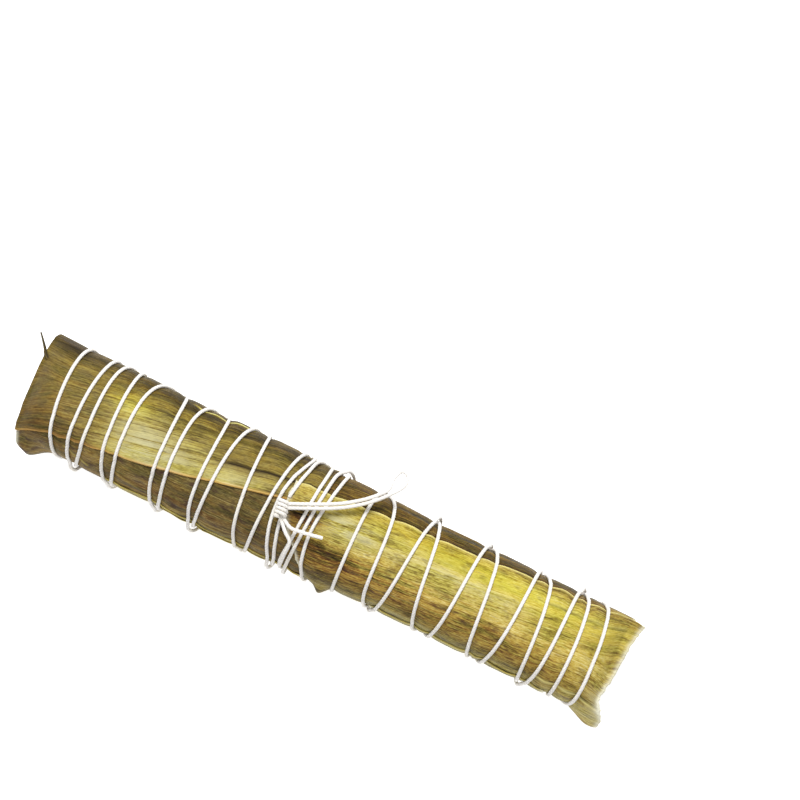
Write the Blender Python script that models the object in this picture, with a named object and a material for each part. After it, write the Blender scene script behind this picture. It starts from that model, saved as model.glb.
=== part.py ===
# A log of red bean alkaline zongzi: sticky rice wrapped in bamboo leaves and bound with one cotton string.
# X runs along the log, Z is up, and the origin is under its middle, on the surface that it lies on.
# Sizes are in millimetres and degrees up to the meshes, which are in metres.
# An angle goes round the log: 0 is the front side, 90 the top, 180 the back side and -90 the bottom.
import math

import bmesh
import bpy
import numpy as np
from mathutils import Matrix

MM = 0.001

# The rice log
LEFT_END = -135.8
RIGHT_END = 133.5
HALF_WIDTH_LEFT = 22.3
HALF_WIDTH_RIGHT = 20.4
HALF_WIDTH_LEFT_END = 22.6
HALF_WIDTH_RIGHT_END = 20.6
FRONT_FULLNESS = 0.9
FULLEST_STATION = -40.0
FULLNESS_REACH = 62.0
TOP_HEIGHT = 20.4
BOTTOM_HEIGHT = 20.2
FLAT_HEIGHT = 19.3
END_RUN = 19.0
END_THINNING = 0.5
END_BULGE_LEFT = 0.6
END_DISH_RIGHT = 1.5
END_SLANT_LEFT = 0.1
WAVE_HEIGHT = 0.35
WAVE_STRETCHES = (17.0, 9.0)
RINGS_ALONG = 11
POINTS_AROUND = 24
# Rings of an end as shares of its run, and the rings that close it: share of width, share of height, depth
END_RING_SHARES = (0.25, 0.5, 0.72, 0.88, 1.0)
END_CREASE = ((0.8, 0.72, 1.6), (0.68, 0.4, 2.6))

# The leaves
LEAF_THICKNESS = 0.5
LEAF_GAP = 0.65
END_ROOM = 0.3
TUCK_ANGLE = 14.0
TUCK_LIMIT = 96.0
FRONT_HEM = -57.0
BACK_HEM = 232.0
BACK_LEAF_START = -52.0
LEFT_LEAF_END = -2.0
FRONT_LEAF_END = 14.0
# A margin's angle at the middle station, its climb per mm, and where it drops: station, reach, angle
FRONT_MARGIN = (100.1, 0.45)
FRONT_MARGIN_DROP = (-120.0, 20.0, 5.0)
SLIT = (118.4, 0.24)
SLIT_DROP = (-15.0, 35.0, 8.0)
# The right leaf's slanting start: station at the back, way to the front, angle at the back, its angles
RIGHT_LEAF_START = (-16.0, 18.0, 104.0, 90.0)
# Its end: reach past the rice, the longer back (angle, spread, length) and the uneven front
RIGHT_LEAF_REACH = 4.1
RIGHT_LEAF_BACK = (100.0, 50.0, 1.8)
RIGHT_LEAF_UNEVEN = ((-4.0, 16.0, 1.8), (62.0, 27.0, -2.7))
RAMP_START = 7.0
RAMP_LENGTH = 5.5
LEAST_COLUMN = 0.9
SLANT_STATIONS = (-8.0, 8.0)
START_EASE = 45.0
END_EASE = 16.0
MEAN_RADIUS = 24.0

# Places where a leaf stands off the log: station, angle, spread along, spread round, height
TORN_CORNER = (10.2, 0.0, 2.5, 12.0, 2.9)
LEFT_END_CORNER = (-131.0, -6.0, 7.5, 17.0, 5.0)
RIGHT_END_CORNER = (136.0, -8.0, 8.5, 15.0, 4.4)

# The string
STRING_RADIUS = 0.85
STRING_GAP = 0.75
STRING_SIDES = 6
STEPS_PER_TURN = 25
FINE_STEP = 1.5
CROSSING_SPACE = 3.0
CROSSING_BLEND = 2.2
LYING_BLEND = 2.0
CURVE_POINTS = 8
BACK_ANGLE = 160.0
FRONT_ANGLE = 15.0

# Height of the log's middle: the string under it lies flat on the surface, and the log rests on the string
AXIS_HEIGHT = 2 * STRING_RADIUS + STRING_GAP + FLAT_HEIGHT

# Where each turn crosses the top, from the left end: its place on the back side and on the front side
TURNS = (
    (-123.0, -116.0),
    (-111.0, -108.5),
    (-105.0, -105.0),
    (-98.0, -92.0),
    (-87.0, -88.0),
    (-75.5, -69.5),
    (-65.5, -65.5),
    (-55.0, -51.0),
    (-44.5, -48.5),
    (-36.0, -30.0),
    (-19.5, -24.0),
    (-14.5, -14.0),
    (-12.0, -11.3),
    (-6.0, -8.5),
    (-2.0, -5.7),
    (1.5, 2.5),
    (16.5, 16.0),
    (23.0, 30.0),
    (42.5, 36.0),
    (45.0, 52.5),
    (66.5, 61.0),
    (71.5, 77.5),
    (90.5, 85.0),
    (95.5, 100.5),
    (109.0, 104.5),
    (113.0, 115.0),
    (121.5, 124.0),
)
KNOT_TURN = 12
# The string is wound from the knot to the left end, along the whole log, and back to the knot
WINDING = (*range(10, -1, -2), *range(1, 12, 2), *range(13, 26, 2), *range(26, 11, -2))
# Angles and stations that a turn also passes on top, where the knot pulls turns together
PULLED_ON_TOP = {
    10: ((90.0, -22.0),),
    11: ((92.0, -18.6),),
    13: ((112.0, -5.8), (71.0, -6.6)),
    14: ((112.0, -3.0), (71.0, -3.9)),
    15: ((108.0, 0.2), (80.0, -0.9), (44.0, 0.3)),
}
# The same underneath, so that two strands cross beside the flat and not on it
PULLED_UNDER = {
    0: ((-60.0, -113.6), (-95.0, -112.0)),
    2: ((-60.0, -115.6), (-95.0, -119.5)),
    3: ((-130.0, -84.5),),
    5: ((-130.0, -62.4),),
    6: ((-130.0, -76.5),),
    8: ((-130.0, -58.8),),
    9: ((-95.0, -23.0), (-130.0, -20.8)),
    11: ((-95.0, -12.4), (-130.0, -11.6)),
    12: ((-40.0, -14.8), (-95.0, -16.6), (-130.0, -17.6)),
    13: ((-40.0, -6.0),),
    14: ((-40.0, -7.4), (-95.0, -8.8), (-130.0, -9.2)),
    15: ((-95.0, 4.4), (-125.0, 8.0)),
    16: ((-10.0, 15.6), (-95.0, 13.2), (-125.0, 10.6)),
    25: ((-60.0, 116.6), (-95.0, 115.2)),
    26: ((-60.0, 119.4), (-95.0, 120.6)),
}

# The knot, the bow, the free end and the strand that hitches the pulled turns
KNOT_PLACE = (-15.2, 87.0)
KNOT_HALF_ANGLE = 8.0
KNOT_STRAND_STATIONS = (-14.7, -15.0)
LEAVES_UNDER_KNOT = 3
KNOT_SIZE = (3.0, 4.6, 2.4)
KNOT_LUMPS = ((-2.0, 25.0), (2.2, -25.0))
BOW_PAIR_SPACE = 2.3
BOW_ROUTE = (
    (-15.0, -1.5, 48.2),
    (-8.0, 2.0, 49.8),
    (0.0, 5.5, 49.4),
    (7.0, 9.0, 48.8),
    (14.2, 14.2, 47.4),
    (19.0, 20.0, 45.4),
)
BOW_EYE = (
    (20.3, 23.8, 44.2),
    (20.0, 28.6, 42.6),
    (21.7, 32.7, 41.3),
    (24.9, 31.4, 41.3),
    (24.9, 26.6, 42.5),
)
FREE_END_ROUTE = (
    (-14.5, -5.0, 46.8),
    (-9.0, -8.2, 48.2),
    (-3.6, -7.9, 48.3),
    (0.5, -7.2, 48.0),
    (4.8, -6.3, 47.2),
)
HITCH_ROUTE = (
    (-15.0, -5.5, 46.6),
    (-10.0, -10.6, 47.0),
    (-6.6, -13.6, 45.6),
    (-6.8, -19.0, 41.4),
    (-7.2, -23.6, 35.0),
)
BOW_STEP = 3.2

COLOURS = {
    "rice_log": (0.24, 0.19, 0.06),
    "leaf_front": (0.23, 0.15, 0.05),
    "leaf_back": (0.20, 0.17, 0.05),
    "leaf_left": (0.38, 0.35, 0.11),
    "leaf_right": (0.50, 0.42, 0.10),
    "string": (0.86, 0.85, 0.82),
}
LEAF_ROUGHNESS = 0.5
STRING_ROUGHNESS = 0.85
CREASE_ANGLE = 40.0

# Rows of a leaf's grid, as shares of the way from its visible margin to its hem
ROWS = (0.0, 0.035, 0.08, 0.14, 0.22, 0.31, 0.4, 0.49, 0.58, 0.67, 0.76, 0.84, 0.92, 1.0)
ROWS_FROM_HEM = tuple(1 - share for share in ROWS[::-1])


def clear_scene():
    for obj in list(bpy.data.objects):
        bpy.data.objects.remove(obj, do_unlink=True)


def smooth(value):
    t = np.clip(value, 0.0, 1.0)
    return t * t * (3 - 2 * t)


def power(value, exponent):
    return np.sign(value) * np.abs(value) ** exponent


def end_share(x):
    # 0 along the log, rising to 1 at either end
    from_end = np.minimum(x - LEFT_END, RIGHT_END - x)
    return np.clip(1 - from_end / END_RUN, 0.0, 1.1)


def waves(x, angle):
    # Slow unevenness of the packed rice, on the upper side and away from the ends
    longer, shorter = WAVE_STRETCHES
    along = np.sin(x / longer + 1.3) + 0.7 * np.sin(x / shorter + 2.0 * np.radians(angle))
    upper = np.clip(np.sin(np.radians(angle)) + 0.5, 0.0, 1.0)
    return WAVE_HEIGHT * along * upper * (1 - np.minimum(end_share(x), 1.0) ** 2)


def log_point(x, angle, lift):
    # The point at a station and an angle, at a height over the surface of the rice log
    x, angle, lift = np.broadcast_arrays(x, angle, lift)
    cosine, sine = np.cos(np.radians(angle)), np.sin(np.radians(angle))
    end = end_share(x)
    taper = smooth((x - LEFT_END) / (RIGHT_END - LEFT_END))
    width = HALF_WIDTH_LEFT + (HALF_WIDTH_RIGHT - HALF_WIDTH_LEFT) * taper
    width_at_end = np.where(x < 0, HALF_WIDTH_LEFT_END, HALF_WIDTH_RIGHT_END)
    width = width + (width_at_end - width) * end**2
    height = np.where(sine > 0, TOP_HEIGHT, BOTTOM_HEIGHT) * (1 - END_THINNING * end**2.2)
    roundness = 2 / (2.1 + 0.25 * (sine < 0) + end**2)
    over = lift + waves(x, angle)
    fuller = FRONT_FULLNESS * np.exp(-(((x - FULLEST_STATION) / FULLNESS_REACH) ** 2))
    y = -(width + over) * power(cosine, roundness) - fuller * np.maximum(cosine, 0.0)
    z = (height + over) * power(sine, roundness)
    z = np.maximum(z, -FLAT_HEIGHT - np.maximum(lift, 0.0))
    dish = np.where(x < 0, -END_BULGE_LEFT, -END_DISH_RIGHT) * sine**2
    slant = np.where(x < 0, -END_SLANT_LEFT, 0.0) * y
    return np.stack([x + (dish + slant) * end**2, y, z + AXIS_HEIGHT], -1)


def margin(x, line, drop):
    station, reach, angle = drop
    return line[0] + line[1] * x - angle * smooth((station - x) / reach)


def front_margin(x):
    # The left leaf's lower margin climbs from the front side at the left end to the top at the knot
    return margin(x, FRONT_MARGIN, FRONT_MARGIN_DROP)


def slit(x):
    # The right leaf's upper margin
    return margin(x, SLIT, SLIT_DROP)


def front_tuck(x):
    return np.minimum(front_margin(x) + TUCK_ANGLE, TUCK_LIMIT)


def back_tuck(x):
    return np.maximum(slit(x) - TUCK_ANGLE, TUCK_LIMIT + 5.0)


def right_leaf_start(angle):
    # The right leaf's torn left end slants from under the knot to the torn corner at the front
    station, way, back, angles = RIGHT_LEAF_START
    return station + way * smooth((back - angle) / angles)


def right_leaf_end(angle):
    # The right leaf's cut end is long at the back and at the front corner, and short between them
    back, spread, length = RIGHT_LEAF_BACK
    end = RIGHT_END + RIGHT_LEAF_REACH + length * smooth((angle - back) / spread)
    for place, spread, length in RIGHT_LEAF_UNEVEN:
        end = end + length * np.exp(-(((angle - place) / spread) ** 2))
    return end


class Leaf:
    # A leaf laid on the log: stations of its two ends, angles of its two margins, the leaves under it,
    # and the places where it stands off the log

    def __init__(self, name, start, end, low, high, under, standing):
        self.name = name
        self.start = start
        self.end = end
        self.low = low
        self.high = high
        self.under = under
        self.standing = standing

    def cover(self, x, angle):
        # 1 where what lies over this leaf is lifted by it, falling to 0 a little past its margins
        round_way = np.minimum(angle - self.low(x), self.high(x) - angle) * math.radians(MEAN_RADIUS)
        along = np.minimum(x - self.start(angle), self.end(angle) - x)
        return smooth((np.minimum(round_way, along) + RAMP_START) / RAMP_LENGTH)

    def underside(self, x, angle):
        # Height of this leaf's underside over the rice log
        lift = LEAF_GAP + END_ROOM * end_share(x)
        for leaf in self.under:
            lift = lift + (LEAF_GAP + LEAF_THICKNESS) * leaf.cover(x, angle)
        for station, turn, spread_x, spread_angle, height in self.standing:
            away = ((x - station) / spread_x) ** 2 + ((angle - turn) / spread_angle) ** 2
            lift = lift + height * np.exp(-away)
        return lift


def level(value):
    return lambda other: value + 0 * other


def make_leaves():
    front = Leaf(
        "leaf_front",
        level(LEFT_END - 0.6),
        level(FRONT_LEAF_END),
        level(FRONT_HEM),
        front_tuck,
        (),
        (LEFT_END_CORNER,),
    )
    back = Leaf(
        "leaf_back",
        level(BACK_LEAF_START),
        level(RIGHT_END + 1.5),
        back_tuck,
        level(BACK_HEM - 4.0),
        (),
        (),
    )
    left = Leaf(
        "leaf_left",
        level(LEFT_END - 1.2),
        level(LEFT_LEAF_END),
        front_margin,
        level(BACK_HEM),
        (front, back),
        (),
    )
    right = Leaf(
        "leaf_right",
        right_leaf_start,
        right_leaf_end,
        level(FRONT_HEM + 4.0),
        slit,
        (front, back, left),
        (TORN_CORNER, RIGHT_END_CORNER),
    )
    return front, back, left, right


def outer_lift(leaves, x, angle):
    # Height of the outermost leaf's face over the rice log
    lift = END_ROOM * end_share(x)
    for leaf in leaves:
        lift = lift + (LEAF_GAP + LEAF_THICKNESS) * leaf.cover(x, angle)
    return lift


def new_object(name, mesh, colour, roughness):
    obj = bpy.data.objects.new(name, mesh)
    bpy.context.collection.objects.link(obj)
    material = bpy.data.materials.new(name)
    material.use_nodes = True
    shader = material.node_tree.nodes["Principled BSDF"]
    shader.inputs["Base Color"].default_value = (*colour, 1)
    shader.inputs["Roughness"].default_value = roughness
    mesh.materials.append(material)
    mesh.shade_smooth()
    mesh.set_sharp_from_angle(angle=math.radians(CREASE_ANGLE))
    return obj


def mesh_from(name, points, faces):
    mesh = bpy.data.meshes.new(name)
    mesh.from_pydata([tuple(point * MM) for point in points], [], faces)
    shape = bmesh.new()
    shape.from_mesh(mesh)
    bmesh.ops.recalc_face_normals(shape, faces=shape.faces)
    bmesh.ops.triangulate(shape, faces=shape.faces)
    shape.to_mesh(mesh)
    shape.free()
    return mesh


def ring_faces(rings, sides):
    # Quads between rings of points that follow each other, and a cap on the first and on the last
    faces = [tuple(range(sides))[::-1], tuple((rings - 1) * sides + j for j in range(sides))]
    for i in range(rings - 1):
        for j in range(sides):
            k = (j + 1) % sides
            faces.append((i * sides + j, i * sides + k, (i + 1) * sides + k, (i + 1) * sides + j))
    return faces


def log_stations():
    # Stations of the log's rings, closer together where the ends thin out
    inner = np.linspace(LEFT_END + END_RUN, RIGHT_END - END_RUN, RINGS_ALONG)
    steps = END_RUN * np.array(END_RING_SHARES)
    return np.concatenate([(inner[0] - steps)[::-1], inner, inner[-1] + steps])


def end_rings(ring, inwards):
    # Two smaller rings that close an end with a sunken crease across it
    middle = ring.mean(axis=0)
    rings = []
    for narrower, lower, sink in END_CREASE:
        closer = middle + (ring - middle) * np.array([1.0, narrower, lower])
        closer[:, 0] += inwards * sink
        rings.append(closer)
    return rings


def add_log():
    # The rice in its inner leaves
    angles = np.arange(POINTS_AROUND) * 360.0 / POINTS_AROUND - 90.0
    rings = [log_point(x, angles, 0.0) for x in log_stations()]
    rings = end_rings(rings[0], 1.0)[::-1] + rings + end_rings(rings[-1], -1.0)
    mesh = mesh_from("rice_log", np.concatenate(rings), ring_faces(len(rings), POINTS_AROUND))
    new_object("rice_log", mesh, COLOURS["rice_log"], LEAF_ROUGHNESS)


def leaf_columns(leaf):
    # Stations of a leaf's grid: the log's own, and the ramps over the ends of the leaves under it
    wanted = list(log_stations())
    if leaf.start(90.0) != leaf.start(0.0):
        wanted += SLANT_STATIONS
    for under in leaf.under:
        first, last = float(under.start(90.0)), float(under.end(90.0))
        wanted += [first - RAMP_START, first - 1.0, last + 1.0, last + RAMP_START]
    columns = [float(leaf.start(90.0))]
    end = float(leaf.end(90.0))
    for x in sorted(wanted):
        if columns[-1] + LEAST_COLUMN < x < end - LEAST_COLUMN:
            columns.append(x)
    return np.array([*columns, end])


def leaf_grid(leaf, rows, height):
    # Points of one face of a leaf; a slanting start or end eases into the log's stations
    columns = leaf_columns(leaf)
    at_start = 1 - smooth((columns - columns[0]) / START_EASE)
    at_end = 1 - smooth((columns[-1] - columns) / END_EASE)
    grid = []
    for share in rows:
        nominal = leaf.low(columns[0]) + (leaf.high(columns[0]) - leaf.low(columns[0])) * share
        x = columns + (leaf.start(nominal) - columns[0]) * at_start
        x = x + (leaf.end(nominal) - columns[-1]) * at_end
        angle = leaf.low(x) + (leaf.high(x) - leaf.low(x)) * share
        grid.append(log_point(x, angle, leaf.underside(x, angle) + height))
    return np.array(grid)


def add_leaf(leaf, rows):
    # A thin wavy solid with the same grid of triangles on both faces
    lower, upper = leaf_grid(leaf, rows, 0.0), leaf_grid(leaf, rows, LEAF_THICKNESS)
    count_a, count_x = lower.shape[:2]
    index = np.arange(2 * count_a * count_x).reshape(2, count_a, count_x)
    faces = []
    for face in index:
        for i in range(count_a - 1):
            for j in range(count_x - 1):
                faces.append((face[i, j], face[i, j + 1], face[i + 1, j + 1]))
                faces.append((face[i, j], face[i + 1, j + 1], face[i + 1, j]))
    last_a, last_x = count_a - 1, count_x - 1
    edge = [(i, 0) for i in range(last_a)] + [(last_a, j) for j in range(last_x)]
    edge += [(i, last_x) for i in range(last_a, 0, -1)] + [(0, j) for j in range(last_x, 0, -1)]
    for a, b in zip(edge, edge[1:] + edge[:1]):
        faces.append((index[0][a], index[0][b], index[1][b], index[1][a]))
    points = np.concatenate([lower.reshape(-1, 3), upper.reshape(-1, 3)])
    faces = [tuple(int(k) for k in face) for face in faces]
    new_object(leaf.name, mesh_from(leaf.name, points, faces), COLOURS[leaf.name], LEAF_ROUGHNESS)


def even_steps(points, step):
    # The same path with its points an even distance apart
    lengths = np.concatenate([[0.0], np.cumsum(np.linalg.norm(np.diff(points, axis=0), axis=1))])
    wanted = np.linspace(0.0, lengths[-1], max(2, round(lengths[-1] / step) + 1))
    return np.stack([np.interp(wanted, lengths, points[:, axis]) for axis in range(3)], -1)


def cubic(t, a, b, slope_a, slope_b):
    # From a to b as t goes from 0 to 1, leaving and arriving at the given slopes
    ends = a * (1 + 2 * t) * (1 - t) ** 2 + b * t * t * (3 - 2 * t)
    return ends + slope_a * t * (1 - t) ** 2 - slope_b * t * t * (1 - t)


def smooth_through(knots):
    # A smooth curve through a few points
    knots = np.array(knots, float)
    slopes = np.gradient(knots, axis=0)
    t = np.linspace(0.0, 1.0, CURVE_POINTS, endpoint=False)[:, None]
    spans = [cubic(t, *span) for span in zip(knots[:-1], knots[1:], slopes[:-1], slopes[1:])]
    return np.concatenate([*spans, knots[-1:]])


def winding_knots():
    # Total angle and station of the points that the winding passes, from the knot back to the knot
    a_knot = KNOT_PLACE[1]
    knots = [(a_knot - KNOT_HALF_ANGLE, KNOT_STRAND_STATIONS[0]), (FRONT_ANGLE, TURNS[KNOT_TURN][1])]
    knots += PULLED_UNDER[KNOT_TURN]
    for number, turn in enumerate(WINDING[:-1], start=1):
        turned = -360.0 * number
        knots.append((turned + BACK_ANGLE, TURNS[turn][0]))
        knots += [(turned + angle, x) for angle, x in PULLED_ON_TOP.get(turn, ())]
        knots.append((turned + FRONT_ANGLE, TURNS[turn][1]))
        knots += [(turned + angle, x) for angle, x in PULLED_UNDER.get(turn, ())]
    turned = -360.0 * len(WINDING)
    knots.append((turned + BACK_ANGLE, TURNS[KNOT_TURN][0]))
    knots.append((turned + a_knot + KNOT_HALF_ANGLE, KNOT_STRAND_STATIONS[1]))
    return np.array(knots)


def winding_path():
    # Fine path of the string's middle, as total angle and station
    knots = winding_knots()
    turned, stations = -knots[:, 0], knots[:, 1]
    rise = np.gradient(stations, turned)
    fine = np.arange(turned[0], turned[-1], FINE_STEP)
    span = np.clip(np.searchsorted(turned, fine, side="right") - 1, 0, len(knots) - 2)
    width = turned[span + 1] - turned[span]
    t = (fine - turned[span]) / width
    x = cubic(t, stations[span], stations[span + 1], width * rise[span], width * rise[span + 1])
    return -fine, x


def blurred(values, step, reach):
    # A run of values smoothed over a distance along the path
    half = int(3 * reach / step)
    weights = np.exp(-0.5 * (np.arange(-half, half + 1) * step / reach) ** 2)
    return np.convolve(np.pad(values, half, mode="edge"), weights / weights.sum(), mode="valid")


def humps(total_angle, x):
    # Where two strands cross or nearly touch, the one laid later passes over the other
    step = MEAN_RADIUS * math.radians(FINE_STEP)
    lean = np.cos(np.arctan(np.gradient(x) / step))
    turn_of = np.floor((total_angle + 90.0) / 360.0)
    angle = total_angle - 360.0 * turn_of
    hump = np.zeros(len(x))
    turns = np.unique(turn_of)[::-1]
    for number, later in enumerate(turns):
        mine = np.flatnonzero(turn_of == later)
        for earlier in turns[:number]:
            theirs = np.flatnonzero(turn_of == earlier)[::-1]
            other = np.interp(angle[mine], angle[theirs], x[theirs], left=np.inf, right=np.inf)
            apart = np.minimum(np.abs(x[mine] - other) * lean[mine], CROSSING_SPACE)
            hump[mine] = np.maximum(hump[mine], np.sqrt(CROSSING_SPACE**2 - apart**2))
    return blurred(hump, step, CROSSING_BLEND)


def winding_middle(leaves):
    # The string's middle in space: over the outermost leaf, and no lower than flat on the surface
    total_angle, x = winding_path()
    angle = (total_angle + 90.0) % 360.0 - 90.0
    lift = outer_lift(leaves, x, angle) + STRING_GAP + STRING_RADIUS + humps(total_angle, x)
    points = log_point(x, angle, lift)
    points[:, 2] = np.maximum(points[:, 2], STRING_RADIUS)
    return points


def bow_middle():
    # Two strands side by side that open into an eye
    route = np.array(BOW_ROUTE)
    across = np.cross(np.gradient(route, axis=0), (0.0, 0.0, 1.0))
    apart = across / np.linalg.norm(across, axis=1)[:, None] * BOW_PAIR_SPACE / 2
    return smooth_through([*(route - apart), *BOW_EYE, *(route + apart)[::-1]])


def add_strand(name, points):
    # A closed tube that follows the points. One of its edges is turned away from the log's middle,
    # and straight down where the strand lies under the log, so that the part rests on a flat spot
    along = np.gradient(points, axis=0)
    along /= np.linalg.norm(along, axis=1)[:, None]
    outwards = points * (0.0, 1.0, 1.0) - (0.0, 0.0, AXIS_HEIGHT)
    outwards /= np.linalg.norm(outwards, axis=1)[:, None]
    lying = smooth(1 - (points[:, 2] - STRING_RADIUS) / LYING_BLEND)[:, None]
    edges = outwards * (1 - lying) + np.array([0.0, 0.0, -1.0]) * lying
    turns = np.radians(np.arange(STRING_SIDES) * 360.0 / STRING_SIDES)[:, None]
    rings = []
    for point, forward, edge in zip(points, along, edges):
        edge = edge - forward * (edge @ forward)
        edge /= np.linalg.norm(edge)
        side = np.cross(forward, edge)
        rings.append(point + STRING_RADIUS * (np.cos(turns) * edge + np.sin(turns) * side))
    mesh = mesh_from(name, np.concatenate(rings), ring_faces(len(rings), STRING_SIDES))
    return new_object(name, mesh, COLOURS["string"], STRING_ROUGHNESS)


def add_knot():
    # Two lumps, one beside the other, in which the ends of the strands are buried
    x, angle = KNOT_PLACE
    under = LEAVES_UNDER_KNOT * (LEAF_GAP + LEAF_THICKNESS) + STRING_GAP
    place = log_point(x, angle, under + KNOT_SIZE[2])
    lumps = []
    for shift, tilt in KNOT_LUMPS:
        shape = bmesh.new()
        bmesh.ops.create_uvsphere(shape, u_segments=12, v_segments=7, radius=1.0)
        bmesh.ops.scale(shape, vec=[size * MM for size in KNOT_SIZE], verts=shape.verts)
        turn = Matrix.Rotation(math.radians(tilt), 3, "Z")
        bmesh.ops.rotate(shape, cent=(0, 0, 0), matrix=turn, verts=shape.verts)
        bmesh.ops.translate(shape, vec=(place + (0.0, shift, 0.0)) * MM, verts=shape.verts)
        mesh = bpy.data.meshes.new("knot_lump")
        shape.to_mesh(mesh)
        shape.free()
        lumps.append(new_object("knot_lump", mesh, COLOURS["string"], STRING_ROUGHNESS))
    return lumps


def join(target, others):
    # One closed body out of overlapping ones
    for other in others:
        union = target.modifiers.new("union", "BOOLEAN")
        union.operation = "UNION"
        union.object = other
        graph = bpy.context.evaluated_depsgraph_get()
        mesh = bpy.data.meshes.new_from_object(target.evaluated_get(graph))
        target.modifiers.clear()
        target.data = mesh
        bpy.data.objects.remove(other, do_unlink=True)


def add_string(leaves):
    # The whole string: the winding, the knot, the bow, the free end and the hitch
    middle = winding_middle(leaves)
    length = np.linalg.norm(np.diff(middle, axis=0), axis=1).sum()
    step = length / (len(WINDING) * STEPS_PER_TURN)
    binding = add_strand("binding_string", even_steps(middle, step))
    pieces = add_knot()
    for name, route in (
        ("bow", bow_middle()),
        ("free_end", smooth_through(FREE_END_ROUTE)),
        ("hitch", smooth_through(HITCH_ROUTE)),
    ):
        pieces.append(add_strand(name, even_steps(route, BOW_STEP)))
    join(binding, pieces)


def settle():
    # Moves the whole so that the origin is under the middle of its box
    corners = np.array([vertex.co[:] for obj in bpy.data.objects for vertex in obj.data.vertices])
    low, high = corners.min(axis=0), corners.max(axis=0)
    shift = Matrix.Translation((-(low[0] + high[0]) / 2, -(low[1] + high[1]) / 2, -low[2]))
    for obj in bpy.data.objects:
        obj.data.transform(shift)


clear_scene()
leaf_front, leaf_back, leaf_left, leaf_right = make_leaves()
add_log()
add_leaf(leaf_front, ROWS_FROM_HEM)
add_leaf(leaf_back, ROWS)
add_leaf(leaf_left, ROWS)
add_leaf(leaf_right, ROWS_FROM_HEM)
add_string((leaf_front, leaf_back, leaf_left, leaf_right))
settle()
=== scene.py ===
import math

import bpy
import numpy as np
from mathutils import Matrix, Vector


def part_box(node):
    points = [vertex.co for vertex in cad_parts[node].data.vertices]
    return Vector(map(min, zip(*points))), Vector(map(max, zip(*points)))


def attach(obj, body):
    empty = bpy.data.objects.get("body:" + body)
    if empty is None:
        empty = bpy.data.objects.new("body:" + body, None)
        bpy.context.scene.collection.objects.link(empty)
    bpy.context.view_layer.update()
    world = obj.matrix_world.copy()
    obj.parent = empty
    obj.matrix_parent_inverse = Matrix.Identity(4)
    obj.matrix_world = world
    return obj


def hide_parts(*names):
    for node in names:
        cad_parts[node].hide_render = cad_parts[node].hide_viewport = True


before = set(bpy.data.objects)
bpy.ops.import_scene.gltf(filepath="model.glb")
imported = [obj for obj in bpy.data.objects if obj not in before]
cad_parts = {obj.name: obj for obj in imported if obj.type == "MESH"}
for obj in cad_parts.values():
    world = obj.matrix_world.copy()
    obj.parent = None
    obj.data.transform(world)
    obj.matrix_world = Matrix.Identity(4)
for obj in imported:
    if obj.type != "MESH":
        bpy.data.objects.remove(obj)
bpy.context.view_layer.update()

# Lengths are in millimetres and angles in degrees in the log's own frame, until a mesh is made.
# x runs along the log. An angle goes round it: 0 is the front side, 90 the top, 180 the back side.
logShape = {
    "leftEnd": -135.8, "rightEnd": 133.5,
    "halfWidthLeft": 22.3, "halfWidthRight": 20.4, "halfWidthLeftEnd": 22.6, "halfWidthRightEnd": 20.6,
    "topHeight": 20.4, "bottomHeight": 20.2, "flatHeight": 19.3, "axisHeight": 21.75,
    "frontFullness": 0.9, "fullestStation": -40.0, "fullnessReach": 62.0,
    "endRun": 19.0, "endThinning": 0.5, "thinningPower": 2.2, "bulgeLeft": 0.6, "dishRight": 1.5,
    "slantLeft": 0.1, "squareness": 2.1, "squarerBelow": 0.25, "meanRadius": 24.0,
    "waveHeight": 0.35, "longWave": 17.0, "longWaveShift": 1.3, "shortWave": 9.0, "shortWaveShare": 0.7,
}
millimetre = 0.001
perDegree = math.radians(logShape["meanRadius"])  # millimetres over the log's surface
uvUnit = 100.0  # millimetres to one UV unit
deepInside = 50.0  # a distance from a leaf's margin that no painted edge reaches
noiseTable = (97, 89)


def smooth(value):
    t = np.clip(value, 0.0, 1.0)
    return t * t * (3 - 2 * t)


def bump(value):
    # 1 at zero, falling off on both sides
    return np.exp(-value * value)


def hill(value, place, spread, height):
    return height * bump((value - place) / spread)


def power(value, exponent):
    return np.sign(value) * np.abs(value) ** exponent


def softNoise(a, b, seed):
    # Smooth noise between -1 and 1 over two coordinates
    rows, columns = noiseTable
    table = np.random.default_rng(seed).uniform(-1.0, 1.0, noiseTable)
    a, b = np.broadcast_arrays(a, b)
    i, j = np.floor(a).astype(int), np.floor(b).astype(int)
    s, t = smooth(a - i), smooth(b - j)
    i, besideI, j, besideJ = i % rows, (i + 1) % rows, j % columns, (j + 1) % columns
    low = table[i, j] * (1 - s) + table[besideI, j] * s
    high = table[i, besideJ] * (1 - s) + table[besideI, besideJ] * s
    return low * (1 - t) + high * t


def endShare(x):
    fromEnd = np.minimum(x - logShape["leftEnd"], logShape["rightEnd"] - x)
    return np.clip(1 - fromEnd / logShape["endRun"], 0.0, 1.0)


def waves(x, angle):
    short = logShape["shortWaveShare"] * np.sin(x / logShape["shortWave"] + 2.0 * np.radians(angle))
    along = np.sin(x / logShape["longWave"] + logShape["longWaveShift"]) + short
    upper = np.clip(np.sin(np.radians(angle)) + 0.5, 0.0, 1.0)
    return logShape["waveHeight"] * along * upper * (1 - endShare(x) ** 2)


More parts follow.
